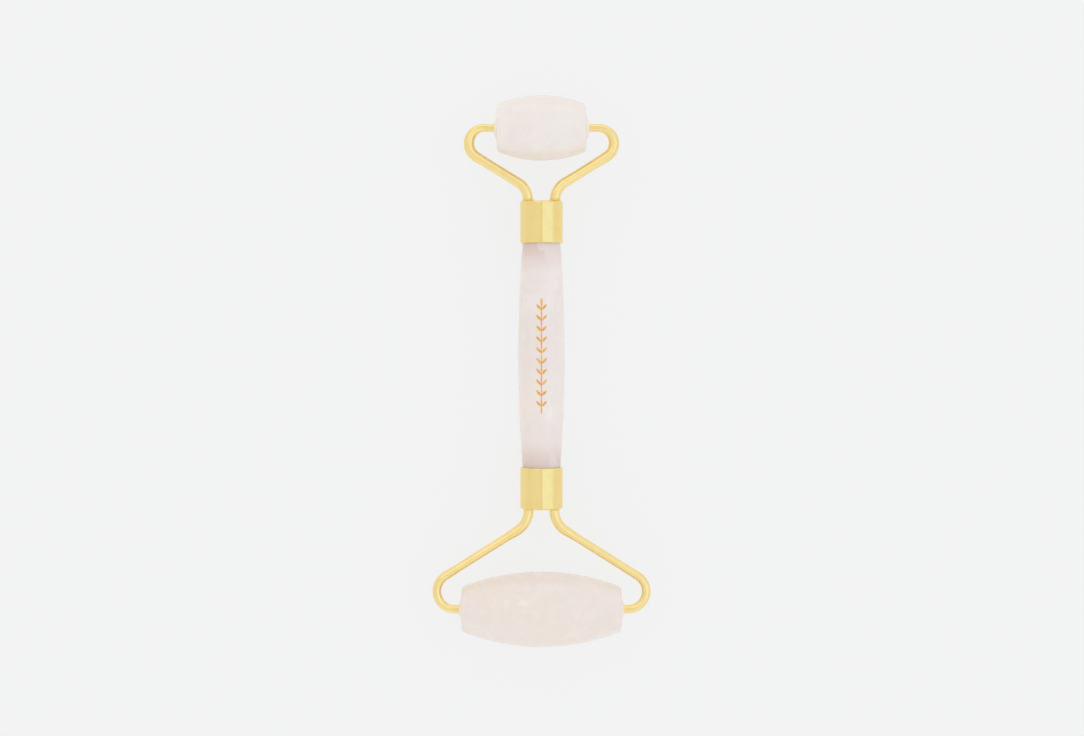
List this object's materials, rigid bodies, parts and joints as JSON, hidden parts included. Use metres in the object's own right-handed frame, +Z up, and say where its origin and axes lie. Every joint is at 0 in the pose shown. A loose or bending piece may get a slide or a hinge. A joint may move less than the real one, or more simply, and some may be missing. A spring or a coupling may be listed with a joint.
{
  "type": "face roller",
  "caption": "Double-ended facial massage roller: polished stone handle in metal ferrules, bent wire forks, and a small and a large stone roller that spin freely.",
  "frame": {"origin": "on the resting surface, under the middle of the bounding box of the roller lying flat", "axes": "+Z up; +Y along the handle towards the small roller; X parallel to both roller axes"},
  "size_m": [0.0574, 0.1446, 0.0198],
  "materials": {
    "rose_quartz": "polished, slightly translucent",
    "gold_plate": "bright gold-tone plating",
    "gilt_paint": "satin gilt paint in shallow engraving",
    "clear_plastic": "translucent moulded plastic",
    "epoxy": "cured adhesive, hidden in the ferrules"
  },
  "bodies": {
    "fork_frame": {"handle": "rose_quartz", "handle_gilding": "gilt_paint", "upper_bond": "epoxy", "lower_bond": "epoxy", "upper_ferrule": "gold_plate", "lower_ferrule": "gold_plate", "upper_left_arm": "gold_plate", "upper_right_arm": "gold_plate", "lower_left_arm": "gold_plate", "lower_right_arm": "gold_plate", "upper_left_braze": "gold_plate", "upper_right_braze": "gold_plate", "lower_left_braze": "gold_plate", "lower_right_braze": "gold_plate"},
    "small_roller": {"small_roller": "rose_quartz", "small_left_bush": "clear_plastic", "small_right_bush": "clear_plastic"},
    "large_roller": {"large_roller": "rose_quartz", "large_left_bush": "clear_plastic", "large_right_bush": "clear_plastic"}
  },
  "joints": [
    {"name": "small_roller_spin", "type": "hinge", "parent": "fork_frame", "child": "small_roller", "pos_m": [0, 0.06377, 0.0099], "axis": [1, 0, 0], "continuous": true},
    {"name": "large_roller_spin", "type": "hinge", "parent": "fork_frame", "child": "large_roller", "pos_m": [0, -0.06245, 0.0099], "axis": [1, 0, 0], "continuous": true}
  ]
}
